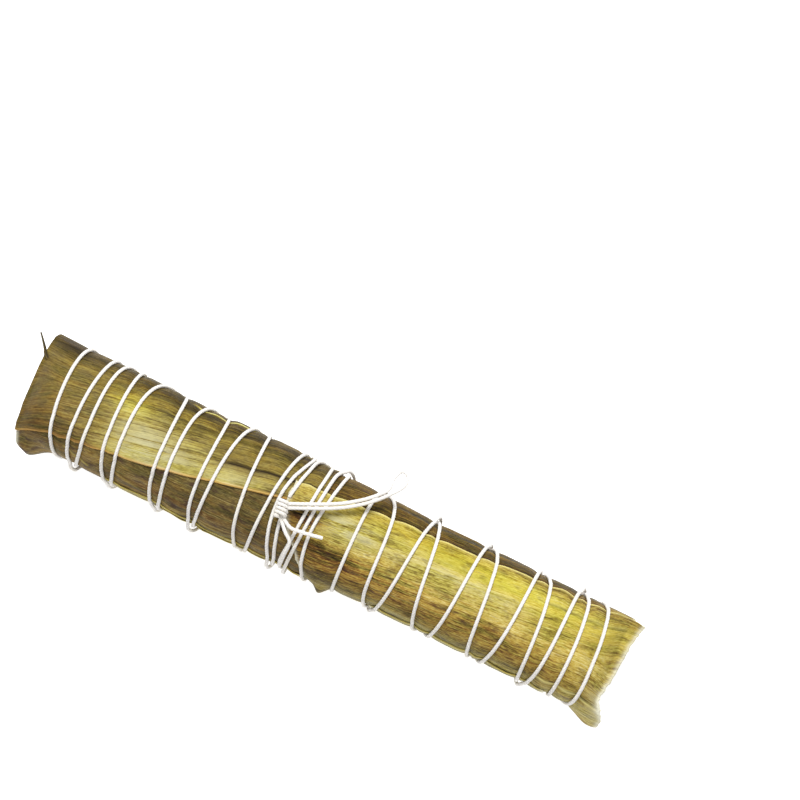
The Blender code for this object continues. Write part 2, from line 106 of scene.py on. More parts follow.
def logPoint(x, angle, lift):
    # The point at a station and an angle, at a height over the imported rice
    x, angle, lift = np.broadcast_arrays(x, angle, lift)
    cosine, sine = np.cos(np.radians(angle)), np.sin(np.radians(angle))
    end = endShare(x)
    taper = smooth((x - logShape["leftEnd"]) / (logShape["rightEnd"] - logShape["leftEnd"]))
    width = logShape["halfWidthLeft"] + (logShape["halfWidthRight"] - logShape["halfWidthLeft"]) * taper
    widthAtEnd = np.where(x < 0, logShape["halfWidthLeftEnd"], logShape["halfWidthRightEnd"])
    width = width + (widthAtEnd - width) * end**2
    height = np.where(sine > 0, logShape["topHeight"], logShape["bottomHeight"])
    height = height * (1 - logShape["endThinning"] * end ** logShape["thinningPower"])
    roundness = 2 / (logShape["squareness"] + logShape["squarerBelow"] * (sine < 0) + end**2)
    over = lift + waves(x, angle)
    fuller = logShape["frontFullness"] * bump((x - logShape["fullestStation"]) / logShape["fullnessReach"])
    y = -(width + over) * power(cosine, roundness) - fuller * np.maximum(cosine, 0.0)
    z = (height + over) * power(sine, roundness)
    z = np.maximum(z, -logShape["flatHeight"] - np.maximum(lift, 0.0))
    dish = np.where(x < 0, -logShape["bulgeLeft"], -logShape["dishRight"]) * sine**2
    slant = np.where(x < 0, -logShape["slantLeft"], 0.0) * y
    return np.stack([x + (dish + slant) * end**2, y, z + logShape["axisHeight"]], -1)


def frameShift():
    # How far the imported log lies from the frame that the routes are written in
    x = np.linspace(logShape["leftEnd"], logShape["rightEnd"], 400)[:, None]
    points = logPoint(x, np.arange(0.0, 360.0, 15.0), 0.0).reshape(-1, 3)
    low, high = (np.array(corner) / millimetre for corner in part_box("rice_log"))
    shift = (low + high) / 2 - (points.min(axis=0) + points.max(axis=0)) / 2
    shift[2] = 0.0
    return shift


shift = frameShift()
print("shift of the frame in mm", shift.round(2))

# The string's route: where each turn crosses the top, on the back side and on the front side
winding = {
    "turns": (
        (-123, -116), (-111, -108.5), (-105, -105), (-98, -92), (-87, -88),
        (-75.5, -69.5), (-65.5, -65.5), (-55, -51), (-44.5, -48.5), (-36, -30),
        (-19.5, -24), (-14.5, -14), (-12, -11.3), (-6, -8.5), (-2, -5.7),
        (1.5, 2.5), (16.5, 16), (23, 30), (42.5, 36), (45, 52.5),
        (66.5, 61), (71.5, 77.5), (90.5, 85), (95.5, 100.5), (109, 104.5),
        (113, 115), (121.5, 124),
    ),
    "knotTurn": 12,
    "order": (*range(10, -1, -2), *range(1, 12, 2), *range(13, 26, 2), *range(26, 11, -2)),
    "pulledOnTop": {
        10: ((90, -22),),
        11: ((92, -18.6),),
        13: ((112, -5.8), (71, -6.6)),
        14: ((112, -3), (71, -3.9)),
        15: ((108, 0.2), (80, -0.9), (44, 0.3)),
    },
    "pulledUnder": {
        0: ((-60, -113.6), (-95, -112)),
        2: ((-60, -115.6), (-95, -119.5)),
        3: ((-130, -84.5),),
        5: ((-130, -62.4),),
        6: ((-130, -76.5),),
        8: ((-130, -58.8),),
        9: ((-95, -23), (-130, -20.8)),
        11: ((-95, -12.4), (-130, -11.6)),
        12: ((-40, -14.8), (-95, -16.6), (-130, -17.6)),
        13: ((-40, -6),),
        14: ((-40, -7.4), (-95, -8.8), (-130, -9.2)),
        15: ((-95, 4.4), (-125, 8)),
        16: ((-10, 15.6), (-95, 13.2), (-125, 10.6)),
        25: ((-60, 116.6), (-95, 115.2)),
        26: ((-60, 119.4), (-95, 120.6)),
    },
    "backAngle": 160.0, "frontAngle": 15.0,
    "knotPlace": (-15.2, 87.0), "knotHalfAngle": 8.0,
    "sunk": 0.10, "lipShare": 0.4, "crossingSpace": 2.4, "crossingBlend": 1.7, "fineStep": 1.5,
}


def cubic(t, a, b, slopeA, slopeB):
    ends = a * (1 + 2 * t) * (1 - t) ** 2 + b * t * t * (3 - 2 * t)
    return ends + slopeA * t * (1 - t) ** 2 - slopeB * t * t * (1 - t)


def windingKnots():
    xKnot, aKnot = winding["knotPlace"]
    turns, knotTurn, order = winding["turns"], winding["knotTurn"], winding["order"]
    knots = [(aKnot - winding["knotHalfAngle"], xKnot + 0.5), (winding["frontAngle"], turns[knotTurn][1])]
    knots += winding["pulledUnder"][knotTurn]
    for number, turn in enumerate(order[:-1], start=1):
        turned = -360.0 * number
        knots.append((turned + winding["backAngle"], turns[turn][0]))
        knots += [(turned + angle, x) for angle, x in winding["pulledOnTop"].get(turn, ())]
        knots.append((turned + winding["frontAngle"], turns[turn][1]))
        knots += [(turned + angle, x) for angle, x in winding["pulledUnder"].get(turn, ())]
    turned = -360.0 * len(order)
    knots.append((turned + winding["backAngle"], turns[knotTurn][0]))
    knots.append((turned + aKnot + winding["knotHalfAngle"], xKnot + 0.2))
    return np.array(knots)


def windingPath():
    # Fine path of the string's middle, as total angle and station
    knots = windingKnots()
    turned, stations = -knots[:, 0], knots[:, 1]
    rise = np.gradient(stations, turned)
    fine = np.arange(turned[0], turned[-1], winding["fineStep"])
    span = np.clip(np.searchsorted(turned, fine, side="right") - 1, 0, len(knots) - 2)
    width = turned[span + 1] - turned[span]
    t = (fine - turned[span]) / width
    return -fine, cubic(t, stations[span], stations[span + 1], width * rise[span], width * rise[span + 1])


def turnTables():
    # Angle and station of each turn apart, so that it can be looked up by angle
    totalAngle, x = windingPath()
    turnOf = np.floor((totalAngle + 90.0) / 360.0)
    angle = totalAngle - 360.0 * turnOf
    tables = []
    for number in np.unique(turnOf)[::-1]:
        mine = np.flatnonzero(turnOf == number)[::-1]
        tables.append((angle[mine], x[mine]))
    return tables


turnPlaces = turnTables()


def nearestString(x, angle):
    # Distance over the surface from a place to the nearest turn
    turned = (angle + 90.0) % 360.0 - 90.0
    nearest = np.full(np.broadcast(x, angle).shape, np.inf)
    for angles, stations in turnPlaces:
        slope = np.gradient(stations, np.radians(angles) * logShape["meanRadius"])
        place = np.interp(turned, angles, stations, left=np.inf, right=np.inf)
        lean = np.cos(np.arctan(np.interp(turned, angles, slope)))
        nearest = np.minimum(nearest, np.abs(x - place) * lean)
    return nearest


pressing = {
    "groove": 0.4, "grooveWidth": 1.3,
    "bulge": 0.42, "bulgeReach": 5.0,
    "foldHeight": 0.17, "foldSlant": 0.1, "fineFoldShare": 0.6, "dentHeight": 0.17, "heldShare": 0.35,
    "flatFrom": 0.55, "flatBlend": 0.3, "flatLift": 0.1,
    # Length, width and seed of what is uneven
    "bulges": (23.0, 19.0, 5), "folds": (46.0, 3.4, 11), "fineFolds": (30.0, 1.9, 12),
    "dents": (15.0, 8.0, 13),
}


def unevenBy(kind, x, arc):
    length, width, seed = pressing[kind]
    return softNoise(x / length, arc / width, seed)


def relief(x, angle):
    # What the string and the wrapping do to every layer: grooves, bulges between turns, long folds
    nearest = nearestString(x, angle)
    arc = np.radians(angle) * logShape["meanRadius"]
    free = smooth(nearest / pressing["bulgeReach"])
    unevenness = 0.8 + 0.5 * unevenBy("bulges", x, arc)
    height = pressing["bulge"] * free * unevenness * (1 - 0.5 * endShare(x))
    height = height - pressing["groove"] * bump(nearest / pressing["grooveWidth"])
    folds = unevenBy("folds", x, arc - pressing["foldSlant"] * x)
    folds = folds + pressing["fineFoldShare"] * unevenBy("fineFolds", x, arc)
    under = smooth((-np.sin(np.radians(angle)) - pressing["flatFrom"]) / pressing["flatBlend"])
    loose = pressing["heldShare"] + (1 - pressing["heldShare"]) * free
    dents = pressing["dentHeight"] * unevenBy("dents", x, arc)
    height = height + (pressing["foldHeight"] * folds + dents) * loose
    return height * (1 - under) + pressing["flatLift"] * under


# Margins that show: angle, climb along the log, and a drop to the left that starts at a station
margins = {"front": (100.1, 0.45, 5.0, -120.0, 20.0), "slit": (118.4, 0.24, 8.0, -15.0, 35.0)}
frontSag = (-72.0, 30.0, 3.2)  # station, reach, angle
rightEnds = {
    # The left end slants and the right end is longer at the back, each from an angle over a reach;
    # its corner and hollow have an angle, a spread and a length
    "start": -16.0, "slant": (104.0, 90.0, 18.0),
    "reach": 4.1, "back": (100.0, 50.0, 1.8), "corner": (-4.0, 16.0, 1.8), "hollow": (62.0, 27.0, 2.7),
}


def climbing(x, name):
    angle, climb, drop, station, reach = margins[name]
    return angle + climb * x - drop * smooth((station - x) / reach)


def frontMargin(x):
    return climbing(x, "front") - hill(x, *frontSag)


def slit(x):
    return climbing(x, "slit")


def rightLeafStart(angle):
    start, reach, length = rightEnds["slant"]
    return rightEnds["start"] + length * smooth((start - angle) / reach)


def rightLeafEnd(angle):
    start, reach, length = rightEnds["back"]
    longer = length * smooth((angle - start) / reach) + hill(angle, *rightEnds["corner"])
    return logShape["rightEnd"] + rightEnds["reach"] + longer - hill(angle, *rightEnds["hollow"])


def level(value):
    return lambda other: value + 0 * other


layers = {
    "innerLift": 0.45, "gap": 0.13, "thickness": 0.4,
    "rampStart": 3.6, "rampLength": 3.2,
    "alongStep": 0.7, "roundStep": 0.8,
    "endFold": 15.0, "foldSink": 3.2, "foldRound": 0.5, "foldNarrows": 0.36, "foldCloses": 0.97, "seam": 2.4,
}
# Creases: the route as stations and angles, the lip beside it, how dark the painted shade at the lip's foot
# is, and how pale or bright its line is
plainCrease = {
    "side": 1.0, "height": 0.4, "width": 0.8, "reach": 5.0, "fade": 3.0,
    "lipShadow": 0.5, "pale": 0.0, "bright": 0.0,
}
leafCreases = {
    "leftLeaf": (
        {
            "route": ((-48, 98), (-40, 102.5), (-25.5, 110), (-13, 115), (-4, 117)),
            "height": 0.7, "width": 0.7, "reach": 6, "fade": 5, "lipShadow": 1,
        },
        {
            "route": ((-74, 151.6), (-64, 152.6), (-57, 154.6), (-51, 157.6), (-45, 161.8), (-40, 166)),
            "fade": 8, "lipShadow": 0.3, "bright": 0.75,
        },
        {
            "route": ((-98, 112), (-80, 119), (-60, 124), (-52, 127)),
            "height": 0.35, "reach": 6, "fade": 6, "lipShadow": 0.6,
        },
    ),
    "rightLeaf": (
        {"route": ((96, 117), (99, 118), (120, 122), (134.5, 124)), "pale": 0.3},
        {
            "route": ((104, 37), (108, 38), (123.5, 40), (138, 37)), "side": -1,
            "lipShadow": 0.25, "pale": 0.9,
        },
        {
            "route": ((26, 8), (45, 14), (70, 12), (88, 6)), "side": -1,
            "height": 0.45, "reach": 6, "fade": 5, "lipShadow": 0.7,
        },
    ),
    "frontLeaf": (
        {
            "route": ((-112, 41), (-104, 32), (-98, 27)), "side": -1,
            "width": 0.7, "reach": 4, "fade": 2, "pale": 0.8,
        },
        {
            "route": ((-92, 40), (-76, 30), (-52, 22), (-30, 20)), "side": -1,
            "height": 0.35, "fade": 5, "pale": 0.3,
        },
    ),
}


class Leaf:
    # A leaf on the log: stations of its ends, angles of its margins, the leaves under it,
    # and where it stands off the log

    def __init__(self, name, start, end, low, high, under=(), standing=()):
        self.name = name
        self.start = start
        self.end = end
        self.low = low
        self.high = high
        self.under = under
        self.standing = standing
        self.creases = [{**plainCrease, **crease} for crease in leafCreases.get(name, ())]

    def cover(self, x, angle):
        roundWay = np.minimum(angle - self.low(x), self.high(x) - angle) * perDegree
        along = np.minimum(x - self.start(angle), self.end(angle) - x)
        return smooth((np.minimum(roundWay, along) + layers["rampStart"]) / layers["rampLength"])

    def underside(self, x, angle):
        lift = layers["innerLift"] + layers["gap"]
        for leaf in self.under:
            lift = lift + (layers["gap"] + layers["thickness"]) * leaf.cover(x, angle)
        for station, turn, spreadX, spreadAngle, height in self.standing:
            lift = lift + height * bump((x - station) / spreadX) * bump((angle - turn) / spreadAngle)
        return lift

    def lips(self, x, angle):
        # Height of the lips beside the creases, which fall away from the crease
        height = 0.0 * x + 0.0 * angle
        for crease in self.creases:
            away, share = creaseAway(x, angle, crease)
            lip = smooth(away / crease["width"] + 0.5) * np.exp(-np.maximum(away, 0.0) / crease["reach"])
            height = height + crease["height"] * lip * share
        return height


def creaseAway(x, angle, crease):
    # Distance over the surface from a crease, above it positive, and how far the crease is there
    stations, angles = np.array(crease["route"]).T
    away = (angle - np.interp(x, stations, angles)) * perDegree * crease["side"]
    share = smooth((x - stations[0]) / crease["fade"]) * smooth((stations[-1] - x) / crease["fade"])
    return away, share


def torn(end, size, seed):
    # A torn end: uneven in slow steps, with fine fibres
    def place(angle):
        arc = np.radians(angle) * logShape["meanRadius"]
        slow, fine = softNoise(arc / 6.0, 0.5, seed), softNoise(arc / 1.1, 3.5, seed + 1)
        return end(angle) + size * (slow + 0.5 * fine)
    return place


def waved(margin, size, seed):
    # A margin that wavers a little
    def place(x):
        slow, fine = softNoise(x / 21.0, 0.7, seed), softNoise(x / 6.0, 1.7, seed)
        return margin(x) + size * slow + 0.4 * size * fine
    return place


tuck = {"angle": 14.0, "limit": 96.0, "backLimit": 101.0}  # how far leaves run under their neighbours
frontLeaf = Leaf(
    "frontLeaf", level(-136.4), torn(level(13.0), 1.0, 21), waved(level(-57.0), 1.5, 22),
    lambda x: np.minimum(frontMargin(x) + tuck["angle"], tuck["limit"]),
    standing=((-131.0, -6.0, 7.5, 17.0, 5.4),),
)
backLeaf = Leaf(
    "backLeaf", torn(level(-51.0), 1.2, 23), torn(level(135.2), 0.5, 32),
    lambda x: np.maximum(slit(x) - tuck["angle"], tuck["backLimit"]), waved(level(228.0), 1.5, 24),
)
leftLeaf = Leaf(
    "leftLeaf", level(-137.0), torn(level(-3.0), 1.0, 25),
    waved(frontMargin, 0.6, 26), waved(level(232.0), 1.5, 27), under=(frontLeaf, backLeaf),
)
rightLeaf = Leaf(
    "rightLeaf", torn(rightLeafStart, 0.6, 28), torn(rightLeafEnd, 0.75, 29), waved(level(-53.0), 1.5, 30),
    waved(slit, 0.7, 31), under=(frontLeaf, backLeaf, leftLeaf),
    standing=((11.0, 0.0, 2.6, 12.0, 3.0), (136.0, -8.0, 8.5, 15.0, 4.6)),
)
wrapping = (frontLeaf, backLeaf, leftLeaf, rightLeaf)
# Torn strips of more leaves, over the wrapping and under the string, that show along the front side
hemLeft = Leaf(
    "hemLeft", torn(level(-92.0), 1.5, 41), torn(level(3.0), 1.5, 42), waved(level(-46.0), 1.5, 43),
    waved(lambda x: 13.0 + 2.0 * np.sin(x / 16.0), 1.2, 44), under=wrapping,
)
hemNarrow = Leaf(
    "hemNarrow", torn(level(-70.0), 1.5, 45), torn(level(-12.0), 1.5, 46), waved(level(-40.0), 1.5, 47),
    waved(lambda x: 3.0 + 0.05 * x, 1.2, 48), under=(*wrapping, hemLeft),
)
hemRight = Leaf(
    "hemRight", torn(level(33.0), 1.5, 49), torn(level(112.0), 1.5, 50), waved(level(-44.0), 1.5, 51),
    waved(lambda x: 15.0 + 0.04 * (x - 60.0), 1.5, 52), under=wrapping,
)
leaves = (*wrapping, hemLeft, hemNarrow, hemRight)


def outerLift(x, angle):
    # Height of the outermost leaf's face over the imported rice, before the relief
    lift = layers["innerLift"]
    for leaf in leaves:
        lift = lift + (layers["gap"] + layers["thickness"]) * leaf.cover(x, angle)
    return lift


def foldOver(points, over, inwards):
    # Beyond an end of the log the inner leaves turn over the edge and run down its end face
    turned = smooth(over / layers["endFold"])
    axis = np.array([0.0, 0.0, logShape["axisHeight"]])
    points = points - axis
    points[..., 1] *= 1 - layers["foldNarrows"] * turned
    points[..., 2] *= 1 - layers["foldCloses"] * turned
    rounded = layers["foldRound"] * np.sin(np.pi * np.sqrt(turned))
    points[..., 0] += inwards * (layers["foldSink"] * turned**1.5 - rounded)
    return points + axis


def sheetPoint(x, angle, lift, folded=False):
    # A point of a sheet: past an end of the log it runs straight on, or folds over the end
    inside = np.clip(x, logShape["leftEnd"], logShape["rightEnd"])
    points = logPoint(inside, angle, lift + relief(inside, angle))
    if not folded:
        points[..., 0] += x - inside
        return points
    points = foldOver(points, np.maximum(logShape["leftEnd"] - x, 0.0), 1.0)
    return foldOver(points, np.maximum(x - logShape["rightEnd"], 0.0), -1.0)


def solidFrom(name, lower, upper, attributes, uv):
    # A thin closed sheet out of two grids of points, with its faces facing out
    rows, columns = lower.shape[:2]
    index = np.arange(2 * rows * columns).reshape(2, rows, columns)
    quads = []
    for layer, face in enumerate(index):
        corners = [face[:-1, :-1], face[:-1, 1:], face[1:, 1:], face[1:, :-1]]
        corners = corners if layer == 1 else corners[::-1]
        quads.append(np.stack(corners, -1).reshape(-1, 4))
    bottom, top = index
    for a, b in ((bottom[0], top[0]), (bottom[:, -1], top[:, -1])):
        quads.append(np.stack([a[:-1], a[1:], b[1:], b[:-1]], -1))
    for a, b in ((bottom[-1], top[-1]), (bottom[:, 0], top[:, 0])):
        quads.append(np.stack([a[1:], a[:-1], b[:-1], b[1:]], -1))
    points = np.concatenate([lower.reshape(-1, 3), upper.reshape(-1, 3)])
    mesh = meshFrom(name, points, np.concatenate(quads))
    for key, values in attributes.items():
        addAttribute(mesh, key, np.concatenate([values.ravel(), values.ravel()]))
    addUv(mesh, np.tile(uv.reshape(-1, 2), (2, 1)))
    return mesh


def meshFrom(name, points, faces):
    mesh = bpy.data.meshes.new(name)
    faces = np.asarray(faces)
    mesh.vertices.add(len(points))
    mesh.vertices.foreach_set("co", ((points + shift) * millimetre).astype(np.float32).ravel())
    mesh.loops.add(faces.size)
    mesh.loops.foreach_set("vertex_index", faces.astype(np.int32).ravel())
    mesh.polygons.add(len(faces))
    mesh.polygons.foreach_set("loop_start", np.arange(0, faces.size, faces.shape[1], dtype=np.int32))
    mesh.update(calc_edges=True)
    mesh.validate()
    return mesh


def addAttribute(mesh, name, values):
    attribute = mesh.attributes.new(name, "FLOAT", "POINT")
    attribute.data.foreach_set("value", values.astype(np.float32))


def addUv(mesh, uv):
    # Along the leaf and round the log
    corners = np.empty(len(mesh.loops), np.int32)
    mesh.loops.foreach_get("vertex_index", corners)
    mesh.uv_layers.new(name="leafPlace").data.foreach_set("uv", uv[corners].astype(np.float32).ravel())


def newObject(name, data):
    obj = bpy.data.objects.new(name, data)
    bpy.context.scene.collection.objects.link(obj)
    return obj


def showObject(name, mesh, material, node):
    print(name, len(mesh.polygons), "faces")
    obj = newObject(name, mesh)
    mesh.materials.clear()
    mesh.materials.append(material)
    mesh.shade_smooth()
    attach(obj, "root")
    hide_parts(node)


class Wire:
    # One socket of a node tree, so that maths on it reads as Python

    def __init__(self, tree, socket=None):
        self.tree = tree
        self.socket = socket

    def node(self, kind, settings=None, values=None, output=0):
        made = self.tree.nodes.new(kind)
        for key, value in (settings or {}).items():
            if key == "stops":
                fillRamp(made.color_ramp, value)
            else:
                setattr(made, key, value)
        for key, value in (values or {}).items():
            if isinstance(value, Wire):
                self.tree.links.new(value.socket, made.inputs[key])
            else:
                made.inputs[key].default_value = value
        return Wire(self.tree, made.outputs[output] if made.outputs else None)

    def maths(self, operation, *values, clamp=False):
        settings = {"operation": operation, "use_clamp": clamp}
        return self.node("ShaderNodeMath", settings, dict(enumerate(values)))

    def __add__(self, other):
        return self.maths("ADD", self, other)

    def __radd__(self, other):
        return self.maths("ADD", other, self)

    def __sub__(self, other):
        return self.maths("SUBTRACT", self, other)

    def __rsub__(self, other):
        return self.maths("SUBTRACT", other, self)

    def __mul__(self, other):
        return self.maths("MULTIPLY", self, other)

    def __rmul__(self, other):
        return self.maths("MULTIPLY", other, self)

    def __truediv__(self, other):
        return self.maths("DIVIDE", self, other)

    def applied(self, operation):
        return self.maths(operation, self)

    def clamped(self):
        return self.maths("ADD", self, 0.0, clamp=True)


def fillRamp(ramp, stops):
    while len(ramp.elements) > 1:
        ramp.elements.remove(ramp.elements[-1])
    for number, (place, colour) in enumerate(stops):
        element = ramp.elements[0] if number == 0 else ramp.elements.new(place)
        element.position = place
        element.color = (*colour, 1.0)


def mixColour(wire, share, first, second, blend="MIX"):
    colours = [(*c, 1.0) if isinstance(c, tuple) else c for c in (first, second)]
    values = {0: share, 6: colours[0], 7: colours[1]}
    settings = {"data_type": "RGBA", "blend_type": blend, "clamp_factor": True}
    return wire.node("ShaderNodeMix", settings, values, output=2)


def newMaterial(name):
    material = bpy.data.materials.new(name)
    material.use_nodes = True
    tree = material.node_tree
    tree.nodes.clear()
    return material, Wire(tree)


def shadeWith(wire, values):
    shader = wire.node("ShaderNodeBsdfPrincipled", None, values)
    wire.node("ShaderNodeOutputMaterial", None, {"Surface": shader})


# What shows in a leaf's face: length and width in millimetres, detail, and a shift that sets it apart
grain = {
    "fine": (110.0, 0.40, 2.0, 0.0), "fibres": (130.0, 0.95, 3.0, 3.0), "bands": (190.0, 3.4, 3.0, 7.0),
    "clouds": (16.0, 7.0, 4.0, 11.0), "dashes": (6.5, 0.50, 3.0, 15.0), "blotches": (8.0, 3.2, 4.0, 19.0),
    "specks": (1.8, 0.45, 2.0, 23.0),
}


def noiseOver(wire, along, across, kind, seed):
    # Noise stretched over the leaf's own directions
    length, width, detail, apart = grain[kind]
    place = {"X": along * (1 / length), "Y": across * (1 / width), "Z": seed + apart}
    place = wire.node("ShaderNodeCombineXYZ", None, place)
    values = {"Vector": place, "Scale": 1.0, "Detail": detail, "Roughness": 0.55}
    return wire.node("ShaderNodeTexNoise", {"noise_dimensions": "3D"}, values)


leafPaint = {
    "olive": (
        (0.0, (0.010, 0.007, 0.005)), (0.13, (0.022, 0.014, 0.006)), (0.26, (0.047, 0.031, 0.008)),
        (0.40, (0.115, 0.082, 0.015)), (0.50, (0.200, 0.146, 0.026)), (0.60, (0.300, 0.240, 0.043)),
        (0.70, (0.430, 0.365, 0.066)), (0.85, (0.575, 0.520, 0.150)), (1.0, (0.720, 0.690, 0.380)),
    ),
    "amber": (
        (0.0, (0.014, 0.006, 0.005)), (0.26, (0.075, 0.026, 0.010)), (0.42, (0.180, 0.082, 0.018)),
        (0.56, (0.330, 0.190, 0.035)), (0.70, (0.500, 0.350, 0.060)), (1.0, (0.760, 0.640, 0.260)),
    ),
    "grey": (
        (0.0, (0.014, 0.013, 0.010)), (0.26, (0.052, 0.047, 0.026)), (0.42, (0.130, 0.118, 0.062)),
        (0.56, (0.245, 0.225, 0.120)), (0.70, (0.400, 0.375, 0.210)), (1.0, (0.700, 0.680, 0.480)),
    ),
    "golden": (1.0, 0.99, 0.45),
    "stain": (0.050, 0.020, 0.017),
    "fleck": (0.46, 0.37, 0.15),
    "torn": (0.80, 0.78, 0.62),
    # the pale colour of the painted highlight, where the leaf's gloss would catch the light
    "shine": (0.50, 0.47, 0.27),
    # the near black of painted shade along the creases and at the closed ends of the inner leaves
    "line": (0.022, 0.014, 0.008),
}
paintKeys = ("tone", "contrast", "warmth", "greyness", "golden", "shine", "stain", "torn")


def leafMaterial(name):
    # Dried and boiled bamboo leaf: the broad tones are painted on the mesh, some of them painted shade and
    # painted highlight, and the fibres, streaks, dashes, stains, gloss and the streaks of the painted
    # highlight come from here
    look = lookOf(name)
    material, wire = newMaterial(name)
    uv = wire.node("ShaderNodeUVMap", {"uv_map": "leafPlace"})
    along = wire.node("ShaderNodeSeparateXYZ", None, {0: uv}) * uvUnit
    across = wire.node("ShaderNodeSeparateXYZ", None, {0: uv}, output=1) * uvUnit - along * look["skew"]
    painted = {
        key: wire.node("ShaderNodeAttribute", {"attribute_name": key}, output=2)
        for key in (*paintKeys, "margin", "line")
    }
    fine, fibres, bands, clouds, dashes, blotches, specks = (
        noiseOver(wire, along, across, kind, look["seed"]) for kind in grain
    )
    streaky = (fibres - 0.5) * 0.75 + (bands - 0.5) * 0.5 + (fine - 0.5) * 0.5
    mottled = (clouds - 0.5) * 0.4 + (dashes - 0.5) * 0.7 + (specks - 0.5) * 0.4
    uneven = streaky * look["streaks"] + mottled * look["mottling"]
    tone = (painted["tone"] + uneven * painted["contrast"]).clamped()
    colour, amber, grey = (
        wire.node("ShaderNodeValToRGB", {"stops": leafPaint[key]}, {"Fac": tone})
        for key in ("olive", "amber", "grey")
    )
    warm = (painted["warmth"] * ((clouds + bands - 0.86) * 5.0).clamped()).clamped()
    dull = (painted["greyness"] * (0.35 + (blotches - 0.4) * 3.0)).clamped()
    # painted highlight: pale streaks where the leaf's gloss would catch the light
    shine = (painted["shine"] * ((fibres + clouds - 0.9) * 6.0).clamped()).clamped()
    dash = ((dashes - 0.55) * 9.0).clamped() * ((clouds - 0.38) * 4.0).clamped()
    stain = (painted["stain"] * ((blotches - 0.55) * 9.0).clamped()).clamped()
    fleck = (painted["stain"] * ((0.41 - blotches) * 9.0).clamped() * (specks * 3.0 - 1.0)).clamped()
    hair = ((fine - 0.62) * 12.0).clamped() * ((clouds - 0.42) * 6.0).clamped()
    colour = mixColour(wire, warm, colour, amber)
    colour = mixColour(wire, dull, colour, grey)
    colour = mixColour(wire, painted["golden"], colour, leafPaint["golden"], "MULTIPLY")
    for share, over in (
        (shine, leafPaint["shine"]), (dash * look["dashing"], look["dashes"]),
        (stain * 0.8, leafPaint["stain"]), (fleck * 0.6, leafPaint["fleck"]),
        (hair * painted["stain"], leafPaint["fleck"]),
        (painted["margin"] * (0.5 + fibres * 0.6), look["edge"]),
        (painted["torn"] * (0.3 + fine * 0.9), leafPaint["torn"]), (painted["line"], leafPaint["line"]),
    ):
        colour = mixColour(wire, share, colour, over)
    heights = fibres * 0.7 + fine * 0.4 + bands * 0.4 + dashes * 0.25
    bumped = wire.node("ShaderNodeBump", None, {"Strength": 0.6, "Distance": 0.0005, "Height": heights})
    roughness = 0.46 + (bands - 0.5) * 0.4 + (dashes - 0.5) * 0.2
    values = {"Base Color": colour, "Roughness": roughness, "Normal": bumped, "Specular IOR Level": 0.035}
    shadeWith(wire, values)
    return material


def patched(x, angle, base, patches):
    # A painted value: a base, and soft patches at places on the log
    value = base + np.zeros(np.broadcast(x, angle).shape)
    for station, turn, spreadX, spreadAngle, amount in patches:
        value = value + amount * bump((x - station) / spreadX) * bump((angle - turn) / spreadAngle)
    return value


plainLook = {
    "skew": 0.02, "tone": 0.5, "contrast": 1.0, "warmth": 0.3, "greyness": 0.5, "stain": 0.4, "golden": 0.0,
    "shine": 0.0, "lower": 0.0, "tornEnds": 0.8, "streaks": 0.8, "mottling": 1.0,
    "edge": (0.62, 0.50, 0.13), "dashes": (0.022, 0.014, 0.008), "dashing": 0.45, "patches": {},
}
